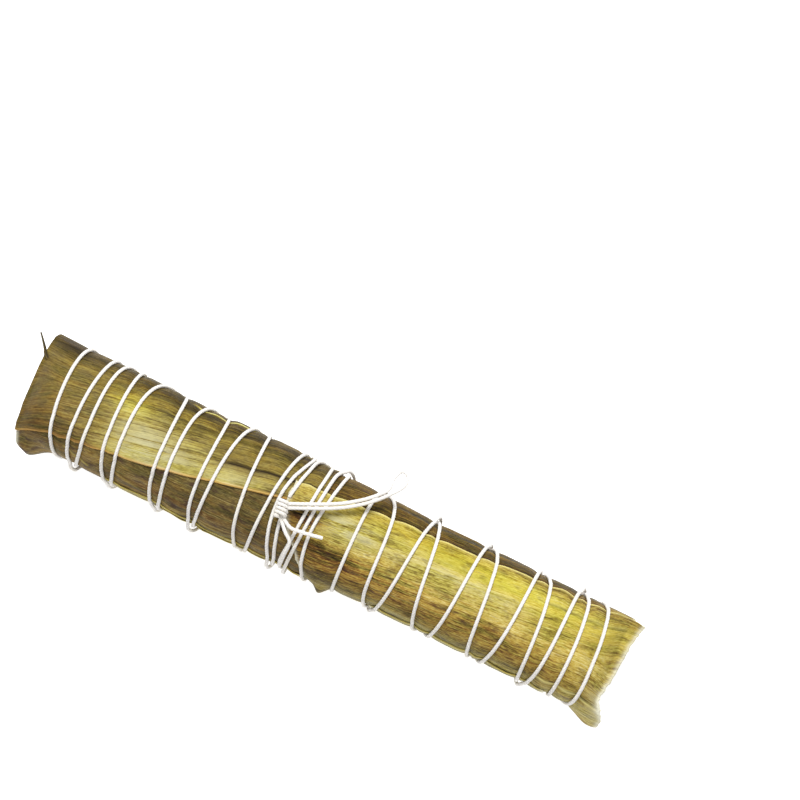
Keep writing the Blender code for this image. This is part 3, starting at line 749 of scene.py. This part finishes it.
# A patch has a station, an angle, its reach along and round the log, and what it adds to the value
leafTones = {
    "leftLeaf": {
        "skew": 0.19, "seed": 2, "tone": 0.49, "warmth": 0.25, "greyness": 0.35, "stain": 0.25, "lower": 0.20,
        "streaks": 0.62, "mottling": 0.95, "edge": (0.66, 0.36, 0.09), "tornEnds": 0.0,
        "patches": {
            # (-60, 154) is painted shade along the back side, and (-128, 150) painted shade inside the curled
            # corner at the top of the left end
            "tone": (
                (-136, 70, 14, 60, -0.07), (-82, 76, 16, 34, 0.13), (-59, 64, 16, 14, 0.10),
                (-38, 100, 14, 9, -0.09), (-60, 154, 90, 22, -0.24), (-128, 150, 10, 22, -0.16),
                (-91, 108, 8, 14, 0.20), (-118, 52, 20, 18, -0.10), (-36, 80, 14, 9, 0.18),
                (-59, 98, 12, 10, 0.09),
            ),
            "warmth": ((-122, 60, 26, 40, 0.35), (-100, 50, 16, 10, 0.3), (-35, 64, 16, 6, 0.5)),
            "golden": ((-92, 112, 12, 10, 0.7), (-60, 140, 60, 30, 0.6)),
            # painted highlights where the leaf's gloss catches the light
            "shine": ((-78, 80, 13, 18, 0.8), (-56, 76, 14, 14, 0.5), (-30, 88, 12, 8, 0.5)),
            "contrast": ((-136, 90, 16, 70, -0.45), (-40, 112, 20, 14, -0.3), (-108, 110, 16, 40, -0.2)),
        },
    },
    "rightLeaf": {
        "skew": 0.10, "seed": 31, "warmth": 0.45, "greyness": 0.10, "stain": 0.45, "tornEnds": 1.0,
        "streaks": 0.55, "mottling": 1.5, "edge": (0.82, 0.73, 0.28),
        "dashes": (0.085, 0.030, 0.012), "dashing": 0.62,
        "patches": {
            "torn": ((136.2, 44, 2.6, 24, 0.9),),
            # (-6, 86), (-9, 75), (1, 62) and (-10, 60) darken the leaf as painted shade under and beside the
            # knot and the bow
            "tone": (
                (60, 104, 110, 24, 0.20), (60, 74, 110, 18, 0.12), (6, 36, 14, 22, -0.10),
                (-10, 60, 9, 30, -0.14), (128, 30, 16, 40, 0.08), (10, 64, 10, 9, -0.17),
                (34, 46, 26, 12, -0.05), (80, 24, 12, 12, -0.05), (14, 88, 12, 12, 0.08),
                (-6, 86, 7.5, 6, -0.34), (1, 62, 6, 6, -0.12), (96, 121, 50, 14, 0.20),
                (60, 98, 26, 10, 0.08), (86, 80, 10, 10, 0.07), (120, 80, 16, 10, 0.12),
                (84, 12, 60, 15, 0.15), (82, 62, 10, 9, -0.07), (-9, 75, 5, 6, -0.12),
            ),
            # (-5, 88) gives the painted shade in the hollow under the knot its warm brown
            "warmth": (
                (60, 62, 70, 22, 0.6), (30, 54, 16, 14, 0.6), (112, 88, 22, 16, 0.3), (20, 58, 12, 12, 0.5),
                (-5, 88, 7, 6, 0.8), (14, 90, 12, 14, -0.5), (60, 10, 60, 14, -0.5),
            ),
            "greyness": ((70, 8, 90, 20, 0.9),),
            "golden": ((70, 118, 60, 14, 0.9), (110, 100, 40, 20, 0.4), (40, 104, 24, 14, 0.3)),
            # painted highlights along the top and at the right end
            "shine": ((12, 93, 11, 9, 0.9), (60, 96, 40, 8, 0.4), (134, 50, 6, 24, 0.6)),
            "contrast": ((125, 110, 14, 20, -0.3), (60, 112, 60, 12, -0.4)),
            "stain": ((16, 62, 9, 9, 0.6), (34, 50, 16, 12, 0.6), (78, 62, 34, 14, 0.5)),
        },
    },
    "frontLeaf": {
        "skew": 0.05, "seed": 57, "tone": 0.385, "warmth": 0.6, "stain": 0.95,
        "streaks": 0.32, "mottling": 0.95, "dashes": (0.040, 0.016, 0.012), "dashing": 0.6,
        "patches": {
            "tone": ((-60, 12, 60, 14, 0.05), (-125, 5, 14, 20, 0.04), (-90, 44, 18, 12, 0.08)),
            "warmth": ((-70, 36, 40, 8, 0.3),),
        },
    },
    "backLeaf": {
        # the back leaf's own dark olive-brown, darkened further as painted shade along the back side
        "skew": 0.10, "seed": 83, "tone": 0.33, "warmth": 0.5, "greyness": 0.15,
        "patches": {
            "tone": ((134, 150, 14, 60, 0.20), (60, 200, 90, 25, 0.10)), "golden": ((60, 140, 90, 40, 0.6),),
        },
    },
    "innerLeaves": {"skew": 0.0, "seed": 101, "tone": 0.36, "greyness": 0.3, "stain": 0.5},
    "hemLeft": {"seed": 131, "tone": 0.60},
    "hemNarrow": {"seed": 151, "tone": 0.58, "warmth": 0.2, "stain": 0.3},
    "hemRight": {"seed": 171, "tone": 0.60, "warmth": 0.1, "greyness": 0.9, "stain": 0.2},
    "strayShred": {"skew": 0.0, "seed": 191, "tone": 0.22, "greyness": 1.0, "stain": 0.0},
}


def lookOf(name):
    return {**plainLook, **leafTones[name]}


edging = {
    "marginWidth": 0.75, "tornWidth": 1.3,
    "bandWidth": 6.5, "bandFrom": -104.0, "bandTo": -14.0, "bandFade": 16.0,
    # How far above a crease its lines lie, and how wide they are; the dark line is painted shade at the foot
    # of the lip
    "lipShadow": (-0.25, 0.55), "pale": (0.5, 0.6), "bright": (0.6, 0.8),
}


def creaseLine(crease, kind, away, share):
    above, width = edging[kind]
    return crease[kind] * share * bump((away - above) / width)


def paint(name, leaf, x, angle, marginDistance, endDistance):
    look = lookOf(name)
    bases = {**look, "torn": bump(endDistance / edging["tornWidth"]) * look["tornEnds"]}
    painted = {key: patched(x, angle, bases[key], look["patches"].get(key, ())) for key in paintKeys}
    tone = painted["tone"]
    line, pale = 0.0 * x + 0.0 * angle, bump(marginDistance / edging["marginWidth"])
    if leaf:
        # The margin that shows has a paler band beside it
        lowerWay = (angle - leaf.low(x)) * perDegree
        banded = smooth((x - edging["bandFrom"]) / edging["bandFade"])
        banded = banded * smooth((edging["bandTo"] - x) / edging["bandFade"])
        tone = tone + look["lower"] * bump(lowerWay / edging["bandWidth"]) * banded
        for crease in leaf.creases:
            away, share = creaseAway(x, angle, crease)
            # painted shade at the foot of each crease's lip
            line = np.maximum(line, creaseLine(crease, "lipShadow", away, share))
            pale = np.maximum(pale, creaseLine(crease, "pale", away, share))
            tone = tone + creaseLine(crease, "bright", away, share)
    return {**painted, "tone": tone, "line": line, "margin": pale}


def placeUv(x, angle):
    x, angle = np.broadcast_arrays(x, angle)
    return np.stack([x, np.radians(angle) * logShape["meanRadius"]], -1) / uvUnit


# Margins curl up a little between the turns of the string, in places
curling = {
    "height": 0.45, "reach": 2.0, "heldWithin": 1.5, "freeOver": 4.0,
    "length": 17.0, "turn": 25.0, "share": 0.35,
}


def makeLeaf(leaf):
    stations = np.linspace(float(leaf.start(90.0)), float(leaf.end(90.0)), 200)
    widest = float(np.max(leaf.high(stations) - leaf.low(stations)))
    rows = np.linspace(0.0, 1.0, max(8, int(widest * perDegree / layers["roundStep"])))[:, None]
    middle = (leaf.low(0.0) + leaf.high(0.0)) / 2
    first, last = float(leaf.start(middle)), float(leaf.end(middle))
    shares = np.linspace(0.0, 1.0, int((last - first) / layers["alongStep"]))[None, :]
    nominalX = first + (last - first) * shares
    nominal = leaf.low(nominalX) + (leaf.high(nominalX) - leaf.low(nominalX)) * rows
    start, end = leaf.start(nominal), leaf.end(nominal)
    x = start + (end - start) * shares
    angle = leaf.low(x) + (leaf.high(x) - leaf.low(x)) * rows
    marginDistance = np.minimum(angle - leaf.low(x), leaf.high(x) - angle) * perDegree
    endDistance = np.minimum(x - start, end - x)
    free = smooth((nearestString(x, angle) - curling["heldWithin"]) / curling["freeOver"])
    curl = curling["height"] * bump(np.minimum(marginDistance, endDistance) / curling["reach"]) * free
    curl = curl * smooth(softNoise(x / curling["length"], angle / curling["turn"], 40) + curling["share"])
    lift = leaf.underside(x, angle) + curl + leaf.lips(x, angle) * free
    lower = sheetPoint(x, angle, lift)
    upper = sheetPoint(x, angle, lift + layers["thickness"])
    attributes = paint(leaf.name, leaf, x, angle, marginDistance, endDistance)
    return solidFrom(leaf.name, lower, upper, attributes, placeUv(x, angle))


def makeInnerLeaves():
    # The inner leaves, closed round the rice and folded shut at both ends
    fold = layers["endFold"]
    along = np.arange(logShape["leftEnd"] - fold, logShape["rightEnd"] + fold + 0.01, 0.9)[:, None]
    angle = np.arange(-90.0, 270.0, 360.0 / 176)[None, :]
    points = sheetPoint(along, angle, layers["innerLift"] + 0.0 * along, folded=True)
    rows, sides = points.shape[:2]
    index = np.arange(rows * sides).reshape(rows, sides)
    beside = np.roll(index, -1, axis=1)
    quads = np.stack([index[:-1], index[1:], beside[1:], beside[:-1]], -1).reshape(-1, 4)
    caps = []
    half = sides // 2
    for ring, turned in ((index[0], False), (index[-1], True)):
        # The end is sewn shut from side to side, straight across the fold
        order = [[ring[k], ring[k + 1], ring[(-k - 1) % sides], ring[-k % sides]] for k in range(half)]
        order = np.array(order)
        caps.append(order[:, ::-1] if turned else order)
    mesh = meshFrom("innerLeaves", points.reshape(-1, 3), np.concatenate([quads, *caps]))
    x, turned = np.broadcast_arrays(along, angle)
    inside = np.full(x.shape, deepInside)
    attributes = paint("innerLeaves", None, x, turned, inside, inside)
    over = np.maximum(logShape["leftEnd"] - x, x - logShape["rightEnd"])
    # painted shade in the crease where the folded end closes
    attributes["line"] = smooth((over - fold) / layers["seam"] + 1.0)
    for key, values in attributes.items():
        addAttribute(mesh, key, values.ravel())
    addUv(mesh, placeUv(x, turned).reshape(-1, 2))
    return mesh


cord = {"radius": 0.80, "lobes": 3, "lobeDepth": 0.09, "pitch": 5.0, "step": 0.5, "sides": 12}


def storeValue(wire, geometry, name, value):
    settings = {"data_type": "FLOAT", "domain": "POINT"}
    values = {"Geometry": geometry, "Name": name, "Value": value}
    return wire.node("GeometryNodeStoreNamedAttribute", settings, values)


def cordTree(material):
    # Geometry Nodes: a path of edges becomes a twisted cord of a few plies
    tree = bpy.data.node_groups.new("twistedCord", "GeometryNodeTree")
    tree.interface.new_socket("Geometry", in_out="INPUT", socket_type="NodeSocketGeometry")
    for name in ("Radius", "Lobes", "Lobe Depth", "Pitch", "Step"):
        tree.interface.new_socket(name, in_out="INPUT", socket_type="NodeSocketFloat")
    tree.interface.new_socket("Sides", in_out="INPUT", socket_type="NodeSocketInt")
    tree.interface.new_socket("Geometry", in_out="OUTPUT", socket_type="NodeSocketGeometry")
    group = tree.nodes.new("NodeGroupInput")
    given = {socket.name: Wire(tree, socket) for socket in group.outputs if socket.name}
    wire = Wire(tree)
    curve = wire.node("GeometryNodeMeshToCurve", None, {"Mesh": given["Geometry"]})
    stepped = {"Curve": curve, "Length": given["Step"]}
    curve = wire.node("GeometryNodeResampleCurve", {"mode": "LENGTH"}, stepped)
    length = wire.node("GeometryNodeSplineParameter", output="Length")
    tilt = length / given["Pitch"] * (2 * math.pi)
    curve = wire.node("GeometryNodeSetCurveTilt", None, {"Curve": curve, "Tilt": tilt})
    curve = storeValue(wire, curve, "along", length)
    profile = wire.node(
        "GeometryNodeCurvePrimitiveCircle", {"mode": "RADIUS"},
        {"Resolution": given["Sides"], "Radius": given["Radius"]},
    )
    factor = wire.node("GeometryNodeSplineParameter", output="Factor")
    lobed = (factor * given["Lobes"] * (2 * math.pi)).applied("COSINE")
    size = 1.0 + given["Lobe Depth"] * (lobed - 1.0) * 0.5
    place = wire.node("GeometryNodeInputPosition")
    scaled = wire.node("ShaderNodeVectorMath", {"operation": "SCALE"}, {0: place, "Scale": size})
    profile = wire.node("GeometryNodeSetPosition", None, {"Geometry": profile, "Position": scaled})
    profile = storeValue(wire, profile, "around", factor)
    body = wire.node(
        "GeometryNodeCurveToMesh", None, {"Curve": curve, "Profile Curve": profile, "Fill Caps": True}
    )
    body = wire.node("GeometryNodeRealizeInstances", None, {"Geometry": body})
    body = wire.node("GeometryNodeSetMaterial", None, {"Geometry": body, "Material": material})
    wire.node("NodeGroupOutput", None, {"Geometry": body})
    return tree


def makeCord(name, points, tree):
    # Runs the tree on a path and keeps the plain mesh
    path = bpy.data.meshes.new(name + "Path")
    edges = [(k, k + 1) for k in range(len(points) - 1)]
    path.from_pydata([tuple(p) for p in (points + shift) * millimetre], edges, [])
    carrier = newObject(name + "Path", path)
    modifier = carrier.modifiers.new("cord", "NODES")
    modifier.node_group = tree
    inputs = {
        "Radius": cord["radius"] * millimetre, "Lobes": float(cord["lobes"]),
        "Lobe Depth": cord["lobeDepth"], "Pitch": cord["pitch"] * millimetre,
        "Step": cord["step"] * millimetre, "Sides": cord["sides"],
    }
    for item in tree.interface.items_tree:
        if item.in_out == "INPUT" and item.name in inputs:
            modifier[item.identifier] = inputs[item.name]
    graph = bpy.context.evaluated_depsgraph_get()
    mesh = bpy.data.meshes.new_from_object(carrier.evaluated_get(graph))
    carrier.modifiers.clear()
    bpy.data.objects.remove(carrier, do_unlink=True)
    mesh.name = name
    return mesh


# the darker colour between the plies is painted shade in the grooves
cottonColours = {"strand": (0.90, 0.885, 0.86), "valleyShade": (0.77, 0.73, 0.68), "cream": (0.84, 0.76, 0.60)}


def cottonMaterial():
    material, wire = newMaterial("cottonString")
    along = wire.node("ShaderNodeAttribute", {"attribute_name": "along"}, output=2) * 1000.0
    around = wire.node("ShaderNodeAttribute", {"attribute_name": "around"}, output=2)
    lobe = (around * float(cord["lobes"])).applied("FRACT")
    place = wire.node("ShaderNodeCombineXYZ", None, {"X": along * 0.5, "Y": around * 26.0 + along * 1.6})
    fibres = wire.node("ShaderNodeTexNoise", None, {"Vector": place, "Scale": 1.0, "Detail": 3.0})
    slow = wire.node(
        "ShaderNodeTexNoise", None,
        {"Vector": wire.node("ShaderNodeTexCoord", output="Object"), "Scale": 60.0, "Detail": 2.0},
    )
    # painted shade in the grooves between the plies
    valleyShade = 1.0 - (lobe - 0.5).applied("ABSOLUTE") * 2.0
    colour = mixColour(wire, valleyShade, cottonColours["strand"], cottonColours["valleyShade"])
    colour = mixColour(wire, ((slow - 0.5) * 1.5).clamped(), colour, cottonColours["cream"])
    heights = fibres * 0.6 + 0.2 * slow
    bumped = wire.node("ShaderNodeBump", None, {"Strength": 0.5, "Distance": 0.0003, "Height": heights})
    values = {
        "Base Color": colour, "Roughness": 0.86, "Normal": bumped, "Specular IOR Level": 0.25,
        "Sheen Weight": 0.25, "Sheen Roughness": 0.6,
    }
    shadeWith(wire, values)
    return material


def blurred(values, step, reach):
    half = int(3 * reach / step)
    weights = np.exp(-0.5 * (np.arange(-half, half + 1) * step / reach) ** 2)
    return np.convolve(np.pad(values, half, mode="edge"), weights / weights.sum(), mode="valid")


def humps(totalAngle, x):
    # Where two strands cross or nearly touch, the one laid later passes over the other
    step = logShape["meanRadius"] * math.radians(winding["fineStep"])
    space = winding["crossingSpace"]
    lean = np.cos(np.arctan(np.gradient(x) / step))
    turnOf = np.floor((totalAngle + 90.0) / 360.0)
    angle = totalAngle - 360.0 * turnOf
    hump = np.zeros(len(x))
    turns = np.unique(turnOf)[::-1]
    for number, later in enumerate(turns):
        mine = np.flatnonzero(turnOf == later)
        for earlier in turns[:number]:
            theirs = np.flatnonzero(turnOf == earlier)[::-1]
            other = np.interp(angle[mine], angle[theirs], x[theirs], left=np.inf, right=np.inf)
            apart = np.minimum(np.abs(x[mine] - other) * lean[mine], space)
            hump[mine] = np.maximum(hump[mine], np.sqrt(space**2 - apart**2))
    return blurred(hump, step, winding["crossingBlend"])


def windingMiddle():
    totalAngle, x = windingPath()
    angle = (totalAngle + 90.0) % 360.0 - 90.0
    lift = outerLift(x, angle) + relief(x, angle) + cord["radius"] - winding["sunk"] + humps(totalAngle, x)
    lift = lift + winding["lipShare"] * sum(leaf.lips(x, angle) for leaf in leaves)
    points = logPoint(x, angle, lift)
    points[:, 2] = np.maximum(points[:, 2], cord["radius"])
    return points


def smoothThrough(knots, count=10):
    knots = np.array(knots, float)
    slopes = np.gradient(knots, axis=0)
    t = np.linspace(0.0, 1.0, count, endpoint=False)[:, None]
    spans = [cubic(t, *span) for span in zip(knots[:-1], knots[1:], slopes[:-1], slopes[1:])]
    return np.concatenate([*spans, knots[-1:]])


bow = {
    "pairSpace": 1.72,
    "route": (
        (-15, -1.5, 47), (-8, 1.6, 48.3), (0, 5.4, 48.3),
        (7, 9.4, 47.6), (13.8, 14.6, 46.4), (19, 20, 44.9),
    ),
    "eye": (
        (20.2, 23.8, 44), (20, 28.6, 42.6), (21.7, 32.7, 41.3), (24.9, 31.4, 41.3), (24.9, 26.6, 42.5),
    ),
    "freeEnd": (
        (-14.5, -5, 46.2), (-9, -8.2, 47.4), (-3.6, -7.9, 47.5), (0.5, -7.2, 47.2), (4.8, -6.3, 46.5),
    ),
    "hitch": (
        (-15, -5.5, 46), (-10, -10.6, 46.4), (-6.6, -13.6, 45),
        (-6.8, -19, 41), (-7.2, -23.6, 34.8),
    ),
}
knot = {
    "lift": 4.0, "moved": (0.0, -1.5, 0.6), "direction": (0.18, -0.95, 0.1),
    "turns": 4.2, "radius": 2.1, "length": 6.8, "points": 60,
}


def bowMiddle():
    route = np.array(bow["route"])
    across = np.cross(np.gradient(route, axis=0), (0.0, 0.0, 1.0))
    apart = across / np.linalg.norm(across, axis=1)[:, None] * bow["pairSpace"] / 2
    return smoothThrough([*(route - apart), *bow["eye"], *(route + apart)[::-1]])


def knotCoil():
    # A strand wound round the pulled strands
    centre = logPoint(*winding["knotPlace"], knot["lift"]) + np.array(knot["moved"])
    along = np.array(knot["direction"])
    along = along / np.linalg.norm(along)
    side = np.cross(along, (0.0, 0.0, 1.0))
    up = np.cross(side, along)
    t = np.linspace(0.0, 1.0, knot["points"])[:, None]
    turned = 2 * math.pi * knot["turns"] * t
    ring = knot["radius"] * (np.cos(turned) * side + np.sin(turned) * up)
    return centre + along * (t - 0.5) * knot["length"] + ring


def addStrings():
    cotton = cottonMaterial()
    tree = cordTree(cotton)
    middle = windingMiddle()
    half = len(middle) // 2
    paths = {
        "windingLeft": middle[:half + 2], "windingRight": middle[half:],
        "bowStrands": bowMiddle(), "freeEnd": smoothThrough(bow["freeEnd"]),
        "hitchStrand": smoothThrough(bow["hitch"]), "knotCoil": knotCoil(),
    }
    for name, points in paths.items():
        showObject(name, makeCord(name, points, tree), cotton, "binding_string")


stray = {
    "route": (
        (-133.0, 9.5, 33.5), (-137.0, 11.6, 34.0), (-139.0, 14.3, 34.6),
        (-141.2, 17.0, 35.4), (-143.3, 19.5, 36.4),
    ),
    "angles": (131.0, 134.0), "across": (0.25, 0.0, 1.0), "width": 1.7, "tip": 0.6, "thickness": 0.3,
}


def addStray():
    # A narrow shred of leaf that sticks out of the left end
    middle = smoothThrough(stray["route"])
    across = np.cross(np.gradient(middle, axis=0), stray["across"])
    across /= np.linalg.norm(across, axis=1)[:, None]
    share = np.linspace(0.0, 1.0, len(middle))[:, None]
    half = across * (stray["width"] + (stray["tip"] - stray["width"]) * share) / 2
    lower = np.stack([middle + half, middle - half])
    upper = lower + np.array([0.0, 0.0, stray["thickness"]])
    x, angle = np.broadcast_arrays(middle[:, 0], np.array(stray["angles"])[:, None])
    inside = np.full(x.shape, deepInside)
    attributes = paint("strayShred", None, x, angle, inside, inside)
    mesh = solidFrom("strayShred", lower, upper, attributes, placeUv(x, angle))
    showObject("strayShred", mesh, leafMaterial("strayShred"), "leaf_left")


def addLeaves():
    nodes = ("leaf_front", "leaf_back", "leaf_left", "leaf_right", "leaf_front", "leaf_front", "leaf_right")
    for leaf, node in zip(leaves, nodes):
        showObject(leaf.name, makeLeaf(leaf), leafMaterial(leaf.name), node)
    showObject("innerLeaves", makeInnerLeaves(), leafMaterial("innerLeaves"), "rice_log")


studio = {
    "floorSize": 12.0, "floorColour": (0.9, 0.9, 0.9), "floorGlow": 0.6,
    "skyColour": (1.0, 1.0, 1.0), "skyStrength": 0.48, "aim": (0.0, 0.0, 0.02),
    "keyPlace": (-0.26, 0.58, 1.0), "keySize": 0.45, "keyPower": 13.0,
    "fillPlace": (0.4, -0.7, 0.9), "fillSize": 1.0, "fillPower": 3.5,
    "cameraPlace": (47.99, -23.59, 515.61), "elevation": 79.0, "azimuth": 26.012, "focalLength": 52.13,
}


def addFloor():
    material, wire = newMaterial("paleFloor")
    values = {
        "Base Color": (*studio["floorColour"], 1.0), "Roughness": 0.9,
        "Emission Color": (1.0, 1.0, 1.0, 1.0), "Emission Strength": studio["floorGlow"],
    }
    shadeWith(wire, values)
    half = studio["floorSize"] / 2
    corners = [(-half, -half, 0), (half, -half, 0), (half, half, 0), (-half, half, 0)]
    mesh = bpy.data.meshes.new("floor")
    mesh.from_pydata(corners, [], [(0, 1, 2, 3)])
    mesh.materials.append(material)
    floor = newObject("floor", mesh)


def addLight(name, place, size, power):
    light = bpy.data.lights.new(name, "AREA")
    light.size = size
    light.energy = power
    obj = newObject(name, light)
    obj.location = place
    obj.rotation_euler = (Vector(studio["aim"]) - Vector(place)).to_track_quat("-Z", "Y").to_euler()


def addStudio():
    addFloor()
    addLight("keyLight", studio["keyPlace"], studio["keySize"], studio["keyPower"])
    addLight("fillLight", studio["fillPlace"], studio["fillSize"], studio["fillPower"])
    world = bpy.data.worlds.new("studioSky")
    world.use_nodes = True
    background = world.node_tree.nodes["Background"]
    background.inputs["Color"].default_value = (*studio["skyColour"], 1.0)
    background.inputs["Strength"].default_value = studio["skyStrength"]
    bpy.context.scene.world = world
    bpy.context.scene.view_settings.view_transform = "Standard"
    lens = bpy.data.cameras.new("camera")
    lens.lens = studio["focalLength"]
    lens.sensor_width = 36.0
    camera = newObject("camera", lens)
    camera.location = (np.array(studio["cameraPlace"]) + shift) * millimetre
    camera.rotation_euler = (math.radians(90.0 - studio["elevation"]), 0.0, math.radians(studio["azimuth"]))
    bpy.context.scene.camera = camera
    print("floor, lights and camera are in place")


addLeaves()
addStray()
addStrings()
addStudio()
